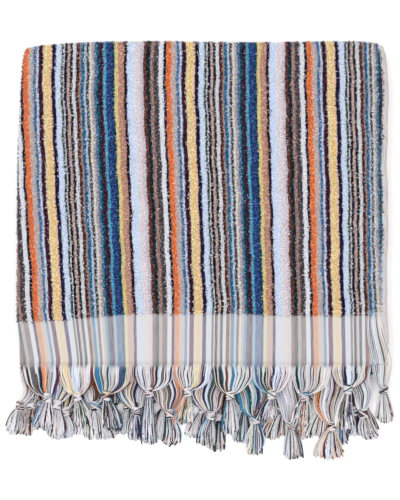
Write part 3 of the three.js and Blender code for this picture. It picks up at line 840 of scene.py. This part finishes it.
# The fringe: the warps of each bundle run together into a knot and hang out of it as a skirt.
# A row has X where the bundle starts and ends at the last weft, X and Y of the middle of its knot,
# X where the tips of its skirt start and end, and Y that they reach.
BUNDLES = {
    "upper": [
        (-215.5, -170.5, -185, -178.5, -199.5, -185, -217),
        (-170.5, -129, -149, -177, -152, -133, -214.5),
        (-129, -79.5, -113.5, -176, -117, -95, -219.5),
        (-79.5, -32, -61.5, -172, -72, -53, -235.5),
        (-32, 15, -14.5, -171, -29.5, -11.5, -211),
        (15, 63.5, 37, -176, 28.5, 45.5, -223),
        (63.5, 112, 87.5, -174.5, 68.5, 93, -205),
        (112, 160.5, 127.5, -176.5, 113.5, 134, -211),
        (160.5, 204.5, 180, -168, 168, 188.5, -217),
        (203, 220.5, 225, -170, 217.5, 238.5, -208.5),
    ],
    "second": [
        (-215.5, -197, -219, -189, -237, -217.5, -223),
        (-197, -151, -174, -187, -184, -167, -229.5),
        (-151, -105, -128, -189, -145, -103.5, -229.5),
        (-105, -57.5, -78, -195.5, -86.5, -72, -230.5),
        (-57.5, -11.5, -36.5, -199, -44.5, -26, -237.5),
        (-11.5, 38, 13.5, -200, -2, 19, -237.5),
        (38, 90.5, 68.5, -206, 57.5, 76, -248.5),
        (90.5, 136.5, 112, -213.5, 102.5, 127, -253.5),
        (136.5, 182.5, 161.5, -214.5, 140, 179, -253.5),
        (182.5, 209, 199.5, -197.5, 197, 219, -229.5),
    ],
    "third": [
        (-214, -186, -207, -188, -221.5, -204.5, -224.5),
        (-186, -142.5, -164.5, -196.5, -170.5, -153.5, -227),
        (-142.5, -105, -120.5, -193, -130.5, -111, -224.5),
        (-105, -66, -89, -189, -102.5, -86.5, -223),
        (-66, -20, -42.5, -188, -57.5, -39.5, -229.5),
        (-20, 28.5, 3.5, -193, -15, 2, -227),
        (28.5, 77, 54.5, -193, 40.5, 61.5, -233),
        (77, 125.5, 99.5, -194, 79.5, 101.5, -229.5),
        (125.5, 170.5, 151.5, -191, 127, 156, -227),
        (170.5, 207, 188.5, -195.5, 180, 198.5, -224.5),
    ],
    "lowest": [
        (-214, -174, -194.5, -189, -203, -186, -214.5),
        (-174, -129, -151, -190.5, -159.5, -142.5, -210),
        (-129, -85.5, -106, -191.5, -116, -96.5, -217),
        (-85.5, -42, -65, -193, -72, -55, -229.5),
        (-42, 2, -20, -189, -28.5, -11.5, -208.5),
        (2, 50.5, 23.5, -205, 11.5, 29.5, -244),
        (50.5, 99, 76, -193, 68.5, 88, -219.5),
        (99, 146, 122, -191.5, 112, 131.5, -229.5),
        (146, 190, 170.5, -194, 162, 180, -235.5),
        (190, 207, 202, -189, 199.5, 217.5, -222),
    ],
}
# pale: the share of its yarns that are of the pale ground, bow: how far its head swings out,
# from_y: where it leaves the weft, if that isn't at the hem
PLAIN_BUNDLE = dict(pale=0.5, bow=0)
ODD_BUNDLES = {
    ("upper", 10): dict(from_y=-74, bow=11, pale=0.93),
    ("second", 10): dict(pale=0.85),
}


def bundle(row, number):
    """All that is known of one bundle, by name."""
    left, right, knot_x, knot_y, tips_left, tips_right, tip_y = BUNDLES[row["name"]][number - 1]
    place = dict(hem=(left, right), knot=(knot_x, knot_y), tips=(tips_left, tips_right), tip_y=tip_y)
    return PLAIN_BUNDLE | place | ODD_BUNDLES.get((row["name"], number), {})


# sheet: how many sheets of cloth lie under the one it leaves, bend: how far its heads bend aside,
# fullness: how far down they stay wide, dark: their share of dark yarns, which are partly painted shade,
# sides: of each yarn
FRINGE_ROWS = [
    dict(name="lowest", sheet=4, hem_y=HEM_B_Y, bend=1.5, fullness=(1.5, 2.0), dark=0.12, sides=3),
    dict(name="third", sheet=5, hem_y=HEM_B_Y, bend=2.5, fullness=(1.5, 2.1), dark=0.12, sides=3),
    dict(name="second", sheet=6, hem_y=HEM_A_Y, bend=3.6, fullness=(2.0, 2.9), dark=0.11, sides=4),
    dict(name="upper", sheet=7, hem_y=HEM_A_Y, bend=0.9, fullness=(2.6, 3.4), dark=0.06, sides=4),
]
YARN_RADIUS = 0.67
YARN_PITCH = 0.98
NECK_WIDTH = 6.5  # of a bundle where it enters and leaves its knot
CLUMP_SIZE = 1.6  # how many neighbours stay together, on average
PALE_NAMES = ("white", "cool_white", "lilac", "selvedge", "pinkish_white", "cream_white")
PALE_YARNS = np.array([linear(YARNS[name]) for name in PALE_NAMES]) * LOOSE_TONE
# Dark yarns are of the towel's own dark colours, darkened further, and partly stand for painted shade in the
# gaps between yarns
DARK_NAMES = ("navy", "dark_teal", "plum", "olive_brown", "brown", "teal")
DARK_TONE = 0.7
DARK_YARNS = np.array([linear(YARNS[name]) for name in DARK_NAMES]) * DARK_TONE

# What the yarns come to lie on, as heights on a grid of cells a millimetre square
GROUND_X = -260
GROUND_Y = -275
ground = np.zeros((150, 520))
cell_y = GROUND_Y + np.arange(ground.shape[0])[:, None] + 0.5
cell_x = GROUND_X + np.arange(ground.shape[1])[None, :] + 0.5


def cells_of(x, y):
    """The row and the column of the cell under each point, never one at the rim of the grid."""
    row = np.clip(np.floor(y - GROUND_Y).astype(int), 1, ground.shape[0] - 2)
    column = np.clip(np.floor(x - GROUND_X).astype(int), 1, ground.shape[1] - 2)
    return row, column


def ground_at(x, y):
    """The highest of a cell and the four beside it."""
    row, column = cells_of(x, y)
    around = [ground[row + i, column + j] for i, j in ((0, 0), (1, 0), (-1, 0), (0, 1), (0, -1))]
    return np.max(around, axis=0)


def raise_ground(centres, radii):
    """From now on, what comes lies on these yarns too."""
    for step in (0, 0.25, 0.5, 0.75):
        at = mix(centres[:, :-1], centres[:, 1:], step)
        top = at[..., 2] + mix(radii[:, :-1], radii[:, 1:], step)
        row, column = cells_of(at[..., 0], at[..., 1])
        np.maximum.at(ground, (row, column), top)


def raise_band(from_y, height):
    """From now on, what comes lies on cloth of this height above this Y."""
    lifted = np.where(cell_y > from_y, height * unevenness(cell_x, cell_y), 0)
    np.maximum(ground, lifted, out=ground)


def cubic_curves(controls, t):
    """Points at the shares t of the cubic curves that have these four controls each."""
    t = t[..., None]
    a, b, c, d = (controls[:, i, None] for i in range(4))
    return a * (1 - t) ** 3 + 3 * b * t * (1 - t) ** 2 + 3 * c * t * t * (1 - t) + d * t**3


def settle_on_ground(flat, wanted, held):
    """Heights of yarns that fall as wanted says, but no lower than what they lie on."""
    least = ground_at(flat[..., 0], flat[..., 1]) + YARN_RADIUS
    z = np.maximum(wanted, least)
    for _ in range(3):
        z[:, 1:-1] = np.maximum(least[:, 1:-1], (z[:, :-2] + 2 * z[:, 1:-1] + z[:, 2:]) / 4)
    z[:, held] = wanted[:, held]
    return z


def knot_height(name, knot):
    """The middle of a knot's height, as it lies in the solids."""
    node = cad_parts[name]
    points = np.array([vertex.co for vertex in node.data.vertices]) * 1000 - SHIFT
    beside, along = np.abs(points[:, 0] - knot[0]), np.abs(points[:, 1] - knot[1])
    near = (beside < KNOT_WIDTH / 2 + 0.1) & (along < KNOT_LENGTH / 4)
    return (points[near, 2].min() + points[near, 2].max()) / 2


def clumps(count, mean_size):
    """A clump number for each yarn of a bundle: neighbours that stay side by side."""
    starts = rng.random(count) < 1 / mean_size
    return np.cumsum(starts)


def stripe_at_hem(x, hem_y):
    return stripe_number(stripe_place(x, np.full(x.size, hem_y)))


def bundle_colours(x, hem_y, clump, pale_share, dark_share):
    """Yarns of one clump share a colour: that of the stripe they leave, or of the pale ground."""
    count = clump.max() + 1
    middle = np.array([x[clump == i].mean() if (clump == i).any() else x[0] for i in range(count)])
    colours = LOOSE_COLOURS[stripe_at_hem(middle, hem_y)].copy()
    pale = rng.random(count) < pale_share
    colours[pale] = PALE_YARNS[rng.integers(0, len(PALE_YARNS), pale.sum())]
    colours = colours[clump]
    # Single dark yarns: partly the towel's own dark yarns, partly painted shade in the gaps between yarns
    dark = rng.random(x.size) < dark_share
    colours[dark] = DARK_YARNS[rng.integers(0, len(DARK_YARNS), dark.sum())]
    return np.clip(colours * rng.normal(1, 0.1, (x.size, 1)), 0, 1)


def band_colours(x, hem_y):
    """What the woven band looks like where a yarn leaves it."""
    warp = STRIPE_COLOURS[stripe_at_hem(x, hem_y)]
    tone = EMERGING_TONE * rng.normal(1, 0.05, (x.size, 1))
    return mix(warp**BAND_GAMMA, WEFT_COLOUR, BAND_COVER) * tone


HEAD_STATIONS = 12
HEAD_OVERLAP = 4.0  # how far up the band a yarn can be told apart from the weave
ROOT_RADIUS = 0.5
ROOT_SINK = 0.1  # of a yarn's first point, in the band
HEM_RISE = 0.4  # of its next point, at the last weft, over the middle of the band
LIFT_LENGTH = 8  # over which a bundle that left the weft early comes down from the band
WEAVE_FADE = 0.14  # the share of a head over which the look of the weave fades


def head_yarns(place, row, knot_z):
    """Centres, radii and colours of the yarns from the last weft to the knot."""
    left, right = place["hem"]
    count = int((right - left) / YARN_PITCH)
    share = (np.arange(count) + 0.5) / count
    x = mix(left, right, share) + rng.uniform(-0.2, 0.2, count)
    clump = clumps(count, CLUMP_SIZE)
    knot_x, knot_y = place["knot"]
    hem_y = row["hem_y"]
    top_y = place.get("from_y", hem_y)
    reach = top_y - knot_y - 1
    t = np.concatenate([[0], np.linspace(0, 1, HEAD_STATIONS - 1)])[None]
    # A bundle falls straight at first, and then gathers into its knot
    fullness = rng.uniform(*row["fullness"]) + rng.normal(0, 0.15, clump.max() + 1)[clump][:, None]
    gather = 1 - (1 - t**fullness) ** (1 / 1.5)
    end_x = knot_x + (share - 0.5)[:, None] * NECK_WIDTH
    phase = rng.uniform(-0.6, 0.6)
    bend = row["bend"] * rng.choice([-1, 1]) * np.sin(np.pi * t) * np.sin(2.2 * np.pi * t + phase)
    bow = place["bow"] * share[:, None] ** 0.7 * np.sin(np.pi * t**1.6)
    loose = rng.normal(0, 0.65, clump.max() + 1)[clump][:, None] * np.sin(np.pi * t) ** 2
    flat = np.empty((count, HEAD_STATIONS, 2))
    flat[..., 0] = mix(x[:, None], end_x, gather) + bend + bow + loose
    overlap = HEAD_OVERLAP * rng.uniform(0.4, 1.3, (count, 1))
    below = (np.arange(1, HEAD_STATIONS) - 1) / (HEAD_STATIONS - 2)
    flat[:, :1, 1] = top_y + overlap
    flat[:, 1:, 1] = top_y - reach * below - 0.01
    hem_z = (SHEET_PITCH * row["sheet"] + TERRY_THICKNESS / 2) * unevenness(x, hem_y)
    down = hem_y - flat[..., 1]
    fall = hem_z[:, None] * (1 - smoothstep(down, 2, FALL_LENGTH))
    rank = rng.random(clump.max() + 1)[clump] * 0.75 + rng.random(count) * 0.25
    layer = rank[:, None] * mix(0.2, 4.4, t**1.4)
    nearing = smoothstep(down / (hem_y - knot_y - 1), 0.55, 1.0)
    wanted = mix(fall + layer, knot_z - 1.6 + layer * 0.7, nearing)
    # A bundle that leaves the weft early lies on the band
    if "from_y" in place:
        wanted += (1 - smoothstep(down, 0, LIFT_LENGTH)) * (FLAT_THICKNESS / 2 + 0.5)
    wanted[:, 0] = hem_z - ROOT_SINK
    wanted[:, 1] = hem_z + HEM_RISE
    z = settle_on_ground(flat, wanted, held=[0, 1, -1])
    # Yarns that something holds up lie in layers on it
    z[:, 2:-1] += layer[:, 2:-1] * (z[:, 2:-1] > wanted[:, 2:-1] + 0.01)
    centres = np.concatenate([flat, z[..., None]], axis=-1)
    radii = np.full((count, HEAD_STATIONS), YARN_RADIUS) * mix(1.08, 0.92, t)
    radii[:, 0] = ROOT_RADIUS
    loose_colours = bundle_colours(x, top_y, clump, place["pale"], row["dark"])
    start = band_colours(x, top_y)
    colours = mix(start[:, None], loose_colours[:, None], smoothstep(t, 0.0, WEAVE_FADE)[..., None])
    return centres, radii, colours


SKIRT_YARNS = 58
SKIRT_STATIONS = 8
# The dark yarns of the skirts are partly painted shade between their clumps
SKIRT_DARK = 0.18  # the share of dark yarns
SKIRT_CLUMP_SIZE = 1.7
SKIRT_SPREAD = (16, 24)  # the least width at its tips
SKIRT_FLARE = (0.3, 0.7)  # how soon it widens
SKIRT_SWING = 2.2
BENT_SHARE = 0.12  # of yarns that bend far more than the rest


def skirt_yarns(place, row, knot_z):
    """Centres, radii and colours of the yarns that hang out of the knot."""
    count = SKIRT_YARNS
    share = (np.arange(count) + 0.5) / count
    clump = clumps(count, SKIRT_CLUMP_SIZE)
    knot_x, knot_y = place["knot"]
    spread = max(rng.uniform(*SKIRT_SPREAD), place["tips"][1] - place["tips"][0])
    middle = sum(place["tips"]) / 2
    rank = rng.random(clump.max() + 1)[clump] * 0.6 + rng.random(count) * 0.4
    root_x = knot_x + (share - 0.5) * NECK_WIDTH
    tip_x = middle + (share - 0.5) * spread + rng.normal(0, 1.1, count)
    tip_y = place["tip_y"] + np.clip(rng.normal(0.5, 2.2, count), -3, 6) + 12 * (share - 0.5) ** 2
    root_y = np.full(count, knot_y - 2.0)
    controls = np.empty((count, 4, 2))
    controls[:, 0] = np.stack([root_x, root_y], axis=-1)
    flare = rng.uniform(*SKIRT_FLARE)
    controls[:, 1] = np.stack([mix(root_x, tip_x, flare), mix(root_y, tip_y, 0.25)], axis=-1)
    sway = rng.normal(0, SKIRT_SWING) + rng.normal(0, 2.0, clump.max() + 1)[clump]
    bend = rng.normal(0, 1, count) * np.where(rng.random(count) < BENT_SHARE, 4.0, 0.7)
    swung_x = mix(root_x, tip_x, 0.9) + sway + bend
    controls[:, 2] = np.stack([swung_x, mix(root_y, tip_y, 0.65)], axis=-1)
    controls[:, 3] = np.stack([tip_x, tip_y], axis=-1)
    t = np.linspace(0, 1, SKIRT_STATIONS)[None]
    flat = cubic_curves(controls, t)
    root_z = knot_z + (rank - 0.5) * 3
    down = knot_y - flat[..., 1]
    layer = rank[:, None] * mix(3.8, 1.6, t)
    fall = root_z[:, None] * (1 - smoothstep(down, 3, 26))
    z = settle_on_ground(flat, np.maximum(fall, layer + YARN_RADIUS), held=[0])
    least = ground_at(flat[:, 1:, 0], flat[:, 1:, 1]) + YARN_RADIUS + layer[:, 1:] * 0.8
    z[:, 1:] = np.maximum(z[:, 1:], least)
    centres = np.concatenate([flat, z[..., None]], axis=-1)
    radii = YARN_RADIUS * np.tile(mix(0.95, 1.15, t), (count, 1))
    # The knot brings yarns from all of the bundle together in a new order
    from_share = rng.random(clump.max() + 1)[clump]
    hem_x = mix(*place["hem"], from_share)
    colours = bundle_colours(hem_x, row["hem_y"], clump, place["pale"], SKIRT_DARK)
    # Darker at the knot, where little light gets in
    return centres, radii, colours[:, None] * mix(0.82, 1.1, t)[..., None]


KNOT_WRAPS = 3
WRAP_YARNS = 4
CROSSING_YARNS = 3
KNOT_STATIONS = 13
WRAP_PITCH = 0.32  # as shares of the knot's length, from wrap to wrap and from yarn to yarn
WRAP_YARN_PITCH = 0.07
CROSSING_PITCH = 0.09
WRAP_TILT = 0.2  # in radians
CROSSING_TILT = -0.55
KNOT_PALE = 0.7  # the shares of pale and dark yarns
KNOT_DARK = 0.16


def knot_turns(place, row, knot_z):
    """Rounded wraps of a few yarns each, and a last one that crosses over them."""
    knot_x, knot_y = place["knot"]
    angle = np.linspace(0, 2 * np.pi, KNOT_STATIONS)[None]
    wrap, within = np.divmod(np.arange(KNOT_WRAPS * WRAP_YARNS), WRAP_YARNS)
    within = within - (WRAP_YARNS - 1) / 2
    crossing = np.arange(CROSSING_YARNS) - (CROSSING_YARNS - 1) / 2
    wraps_along = (wrap - 1) * WRAP_PITCH + within * WRAP_YARN_PITCH
    along = np.concatenate([wraps_along, crossing * CROSSING_PITCH])[:, None]
    proud = np.concatenate([0.9 * np.cos(within * 0.85), 1.7 - 0.5 * np.abs(crossing)])[:, None]
    side = rng.choice([-1, 1])
    tilt = np.repeat([WRAP_TILT, CROSSING_TILT], [wrap.size, CROSSING_YARNS])[:, None] * side
    tilt = tilt + rng.normal(0, 0.03, (tilt.size, 1))
    swell = np.sqrt(1 - (along * 1.35) ** 2)
    half_width = (KNOT_WIDTH / 2 - 1.2) * swell + proud * 0.8
    half_height = (KNOT_THICKNESS / 2 - 0.4) * swell + proud * 0.8
    across = half_width * np.cos(angle)
    centres = np.stack(
        [
            knot_x + across,
            knot_y + along * KNOT_LENGTH + across * np.tan(tilt),
            knot_z + half_height * np.sin(angle),
        ],
        axis=-1,
    )
    # A knot that rests on the floor is flat below
    centres[..., 2] = np.maximum(centres[..., 2], YARN_RADIUS)
    radii = np.full((along.size, KNOT_STATIONS), YARN_RADIUS)
    clump = clumps(along.size, CLUMP_SIZE)
    hem_x = rng.uniform(*place["hem"], clump.max() + 1)[clump]
    return centres, radii, bundle_colours(hem_x, row["hem_y"], clump, KNOT_PALE, KNOT_DARK)


CORE_RADII = (1.6, 2.5, 2.8, 2.8, 2.5, 1.6)
# Painted shade: the pale middle of a knot at half its tone
CORE_PAINTED_SHADE = 0.5


def knot_core(place, row, knot_z):
    """The middle of a knot, seen between its wraps, dimmed by painted shade."""
    knot_x, knot_y = place["knot"]
    y = knot_y + np.linspace(0.42, -0.42, len(CORE_RADII)) * KNOT_LENGTH
    centres = np.stack([np.full_like(y, knot_x), y, np.full_like(y, knot_z)], axis=-1)
    return centres[None], np.array([CORE_RADII]), PALE_YARNS[:1] * CORE_PAINTED_SHADE


KNOT_SIDES = 4
CORE_SIDES = 8
# The end below lies on the bottom fold
raise_band(BOTTOM_FOLD_Y - 1.5, LAYER_C_Z + FOLD_REACH)
yarn_finish = yarn_material("fringe_yarn", low=0.86, high=1.1, scale=420)
fringe_pieces = []
for row in FRINGE_ROWS:
    if row["name"] == "second":
        # The end on top lies on the band of the end below
        raise_band(HEM_B_Y - 1, SHEET_PITCH * 5 + TERRY_THICKNESS / 2 + FLAT_THICKNESS / 2)
    kinds = {
        "heads": (head_yarns, row["sides"]),
        "skirts": (skirt_yarns, row["sides"]),
        "knots": (knot_turns, KNOT_SIDES),
        "cores": (knot_core, CORE_SIDES),
    }
    made = {kind: [] for kind in kinds}
    nodes = [f"tassel_{row['name']}_{number}" for number in range(1, len(BUNDLES[row["name"]]) + 1)]
    for number, node in enumerate(nodes, 1):
        place = bundle(row, number)
        knot_z = knot_height(node, place["knot"])
        for kind, (make, _) in kinds.items():
            made[kind].append(make(place, row, knot_z))
    for kind, (_, sides) in kinds.items():
        centres, radii, colours = (np.concatenate(part) for part in zip(*made[kind]))
        obj = tubes(f"fringe_{row['name']}_{kind}", centres, radii, sides, colours)
        obj.data.materials.append(yarn_finish)
        fringe_pieces.append(obj)
        if kind == "heads":
            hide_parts(*nodes)
        if kind != "cores":
            raise_ground(centres, radii)

# Everything lies still on one body

for obj, slot in [(cloth, "cloth"), *((p, "cloth") for p in pile), *((p, "fringe") for p in fringe_pieces)]:
    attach(obj, "root")
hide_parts("cloth")

# The floor, the light and the world

FLOOR_SIZE = 3.0
FLOOR_GAP = 0.0003
floor_mesh = bpy.data.meshes.new("floor")
corners = [(x * FLOOR_SIZE / 2, y * FLOOR_SIZE / 2, 0) for x, y in ((-1, -1), (1, -1), (1, 1), (-1, 1))]
floor_mesh.from_pydata(corners, [], [(0, 1, 2, 3)])
floor = in_scene("floor", floor_mesh)
floor.location.z = -FLOOR_GAP
floor_material, floor_tree, floor_shader = node_material("floor", roughness=0.9, sheen=0.0)
floor_place = new_node(floor_tree, "TexCoord", "Object")
floor_tone = noise_node(floor_tree, floor_place, scale=30)
FLOOR_TONES = ((0.96, 0.96, 0.965, 1.0), (0.985, 0.985, 0.985, 1.0))
floor_colour = mix_node(floor_tree, floor_tone, *FLOOR_TONES)
feed(floor_tree, floor_shader.inputs["Base Color"], floor_colour)
floor_mesh.materials.append(floor_material)


def soft_light(name, place, size, power):
    """A round area light that looks at the middle of the towel."""
    data = bpy.data.lights.new(name, "AREA")
    data.shape = "DISK"
    data.size = size
    data.energy = power
    light = in_scene(name, data)
    light.location = place
    light.rotation_euler = (-Vector(place)).to_track_quat("-Z", "Y").to_euler()


soft_light("key_light", (-1.2, 0.9, 2.3), size=1.8, power=30)
soft_light("fill_light", (1.5, -0.6, 2.2), size=2.0, power=15)
world = bpy.data.worlds.new("world")
bpy.context.scene.world = world
world.use_nodes = True
world.node_tree.nodes["Background"].inputs["Color"].default_value = (1, 1, 1, 1)
world.node_tree.nodes["Background"].inputs["Strength"].default_value = 1.03
